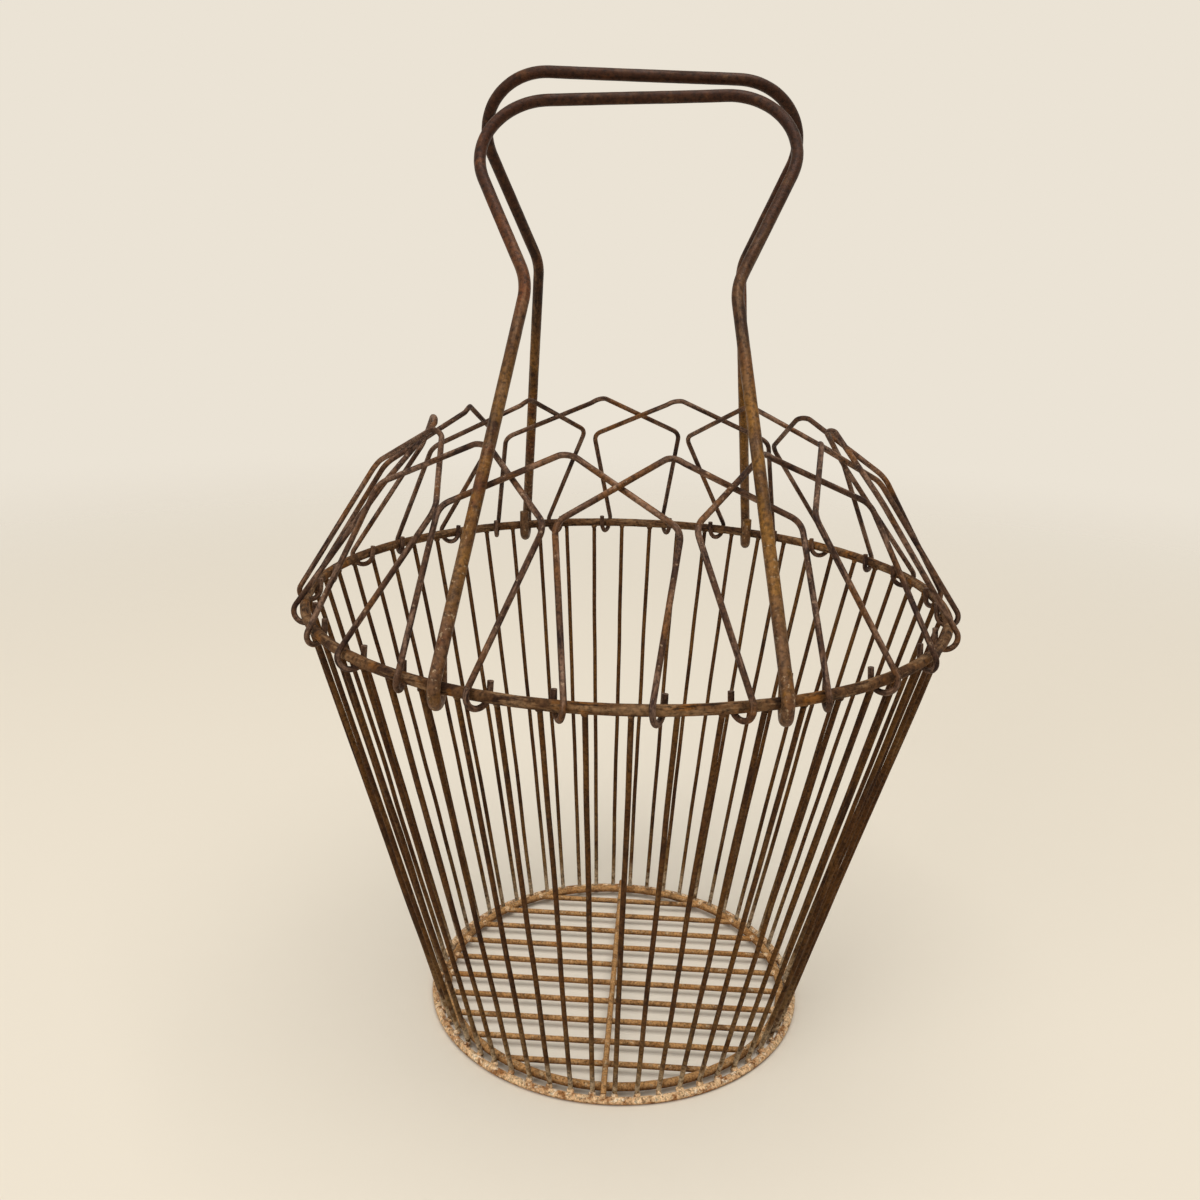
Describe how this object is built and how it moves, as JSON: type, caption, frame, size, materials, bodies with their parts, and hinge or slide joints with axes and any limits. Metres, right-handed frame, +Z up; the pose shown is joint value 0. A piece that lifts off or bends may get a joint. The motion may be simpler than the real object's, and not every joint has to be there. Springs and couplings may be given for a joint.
{
  "type": "folding wire egg basket",
  "caption": "Flared round wire basket with an interlaced lid of hinged wire petals and a pair of bail handles, which open and close together.",
  "frame": {"origin": "on the surface that the basket stands on, under the middle of its box, which is the basket's axis", "axes": "+Z up the basket's axis, -Y towards the front handle, +X to the right seen from the front"},
  "size_m": [0.2688, 0.2692, 0.3912],
  "materials": {
    "rim_wire": "rusted drawn wire, flaking grey-brown",
    "base_wire": "rusted drawn wire with a pale dusty crust",
    "upright_wire": "rusted drawn wire, matt brown",
    "petal_wire": "rusted drawn wire, dark brown with orange patches",
    "handle_wire": "hand-worn rusted wire, dark brown with a slight sheen"
  },
  "bodies": {
    "basket": {"rim_ring": "rim_wire", "base_ring": "base_wire", "floor_ring": "base_wire", "cross_wire": "base_wire", "floor_wire_01": "base_wire", "floor_wire_02": "base_wire", "floor_wire_03": "base_wire", "floor_wire_04": "base_wire", "floor_wire_05": "base_wire", "floor_wire_06": "base_wire", "floor_wire_07": "base_wire", "floor_wire_08": "base_wire", "floor_wire_09": "base_wire", "floor_wire_10": "base_wire", "upright_02": "upright_wire", "upright_04": "upright_wire", "upright_06": "upright_wire", "upright_08": "upright_wire", "upright_10": "upright_wire", "upright_12": "upright_wire", "upright_14": "upright_wire", "upright_16": "upright_wire", "upright_18": "upright_wire", "upright_20": "upright_wire", "upright_22": "upright_wire", "upright_24": "upright_wire", "upright_26": "upright_wire", "upright_28": "upright_wire", "upright_30": "upright_wire", "upright_32": "upright_wire", "upright_34": "upright_wire", "upright_36": "upright_wire", "upright_38": "upright_wire", "upright_40": "upright_wire", "upright_42": "upright_wire", "upright_44": "upright_wire", "upright_46": "upright_wire", "upright_48": "upright_wire", "upright_50": "upright_wire", "upright_52": "upright_wire", "upright_54": "upright_wire", "upright_56": "upright_wire"},
    "front_handle": {"front_handle": "handle_wire"},
    "rear_handle": {"rear_handle": "handle_wire"},
    "petal_01": {"petal_01": "petal_wire"},
    "petal_02": {"petal_02": "petal_wire"},
    "petal_03": {"petal_03": "petal_wire"},
    "petal_04": {"petal_04": "petal_wire"},
    "petal_05": {"petal_05": "petal_wire"},
    "petal_06": {"petal_06": "petal_wire"},
    "petal_07": {"petal_07": "petal_wire"},
    "petal_08": {"petal_08": "petal_wire"},
    "petal_09": {"petal_09": "petal_wire"},
    "petal_10": {"petal_10": "petal_wire"},
    "petal_11": {"petal_11": "petal_wire"},
    "petal_12": {"petal_12": "petal_wire"},
    "petal_13": {"petal_13": "petal_wire"},
    "petal_14": {"petal_14": "petal_wire"}
  },
  "joints": [
    {"name": "front_handle_hinge", "type": "hinge", "parent": "basket", "child": "front_handle", "pos_m": [0, -0.11713, 0.18798], "axis": [1, 0, 0], "range_deg": [0, 120]},
    {"name": "rear_handle_hinge", "type": "hinge", "parent": "basket", "child": "rear_handle", "pos_m": [0, 0.11713, 0.18798], "axis": [-1, 0, 0], "range_deg": [0, 120]},
    {"name": "petal_01_hinge", "type": "hinge", "parent": "basket", "child": "petal_01", "pos_m": [0.0273, -0.11963, 0.18798], "axis": [0.9749, 0.2225, 0], "range_deg": [0, 101]},
    {"name": "petal_02_hinge", "type": "hinge", "parent": "basket", "child": "petal_02", "pos_m": [0.07651, -0.09594, 0.18798], "axis": [0.7818, 0.6235, 0], "range_deg": [0, 101]},
    {"name": "petal_03_hinge", "type": "hinge", "parent": "basket", "child": "petal_03", "pos_m": [0.11055, -0.05324, 0.18798], "axis": [0.4339, 0.901, 0], "range_deg": [0, 101]},
    {"name": "petal_04_hinge", "type": "hinge", "parent": "basket", "child": "petal_04", "pos_m": [0.1227, 0, 0.18798], "axis": [0, 1, 0], "range_deg": [0, 101]},
    {"name": "petal_05_hinge", "type": "hinge", "parent": "basket", "child": "petal_05", "pos_m": [0.11055, 0.05324, 0.18798], "axis": [-0.4339, 0.901, 0], "range_deg": [0, 101]},
    {"name": "petal_06_hinge", "type": "hinge", "parent": "basket", "child": "petal_06", "pos_m": [0.07651, 0.09594, 0.18798], "axis": [-0.7818, 0.6235, 0], "range_deg": [0, 101]},
    {"name": "petal_07_hinge", "type": "hinge", "parent": "basket", "child": "petal_07", "pos_m": [0.0273, 0.11963, 0.18798], "axis": [-0.9749, 0.2225, 0], "range_deg": [0, 101]},
    {"name": "petal_08_hinge", "type": "hinge", "parent": "basket", "child": "petal_08", "pos_m": [-0.0273, 0.11963, 0.18798], "axis": [-0.9749, -0.2225, 0], "range_deg": [0, 101]},
    {"name": "petal_09_hinge", "type": "hinge", "parent": "basket", "child": "petal_09", "pos_m": [-0.07651, 0.09594, 0.18798], "axis": [-0.7818, -0.6235, 0], "range_deg": [0, 101]},
    {"name": "petal_10_hinge", "type": "hinge", "parent": "basket", "child": "petal_10", "pos_m": [-0.11055, 0.05324, 0.18798], "axis": [-0.4339, -0.901, 0], "range_deg": [0, 101]},
    {"name": "petal_11_hinge", "type": "hinge", "parent": "basket", "child": "petal_11", "pos_m": [-0.1227, 0, 0.18798], "axis": [0, -1, 0], "range_deg": [0, 101]},
    {"name": "petal_12_hinge", "type": "hinge", "parent": "basket", "child": "petal_12", "pos_m": [-0.11055, -0.05324, 0.18798], "axis": [0.4339, -0.901, 0], "range_deg": [0, 101]},
    {"name": "petal_13_hinge", "type": "hinge", "parent": "basket", "child": "petal_13", "pos_m": [-0.07651, -0.09594, 0.18798], "axis": [0.7818, -0.6235, 0], "range_deg": [0, 101]},
    {"name": "petal_14_hinge", "type": "hinge", "parent": "basket", "child": "petal_14", "pos_m": [-0.0273, -0.11963, 0.18798], "axis": [0.9749, -0.2225, 0], "range_deg": [0, 101]}
  ],
  "couplings": [
    {"joint": "rear_handle_hinge", "follows": "front_handle_hinge", "ratio": 1},
    {"joint": "petal_01_hinge", "follows": "front_handle_hinge", "ratio": 0.84},
    {"joint": "petal_02_hinge", "follows": "front_handle_hinge", "ratio": 0.84},
    {"joint": "petal_03_hinge", "follows": "front_handle_hinge", "ratio": 0.84},
    {"joint": "petal_04_hinge", "follows": "front_handle_hinge", "ratio": 0.84},
    {"joint": "petal_05_hinge", "follows": "front_handle_hinge", "ratio": 0.84},
    {"joint": "petal_06_hinge", "follows": "front_handle_hinge", "ratio": 0.84},
    {"joint": "petal_07_hinge", "follows": "front_handle_hinge", "ratio": 0.84},
    {"joint": "petal_08_hinge", "follows": "front_handle_hinge", "ratio": 0.84},
    {"joint": "petal_09_hinge", "follows": "front_handle_hinge", "ratio": 0.84},
    {"joint": "petal_10_hinge", "follows": "front_handle_hinge", "ratio": 0.84},
    {"joint": "petal_11_hinge", "follows": "front_handle_hinge", "ratio": 0.84},
    {"joint": "petal_12_hinge", "follows": "front_handle_hinge", "ratio": 0.84},
    {"joint": "petal_13_hinge", "follows": "front_handle_hinge", "ratio": 0.84},
    {"joint": "petal_14_hinge", "follows": "front_handle_hinge", "ratio": 0.84}
  ]
}
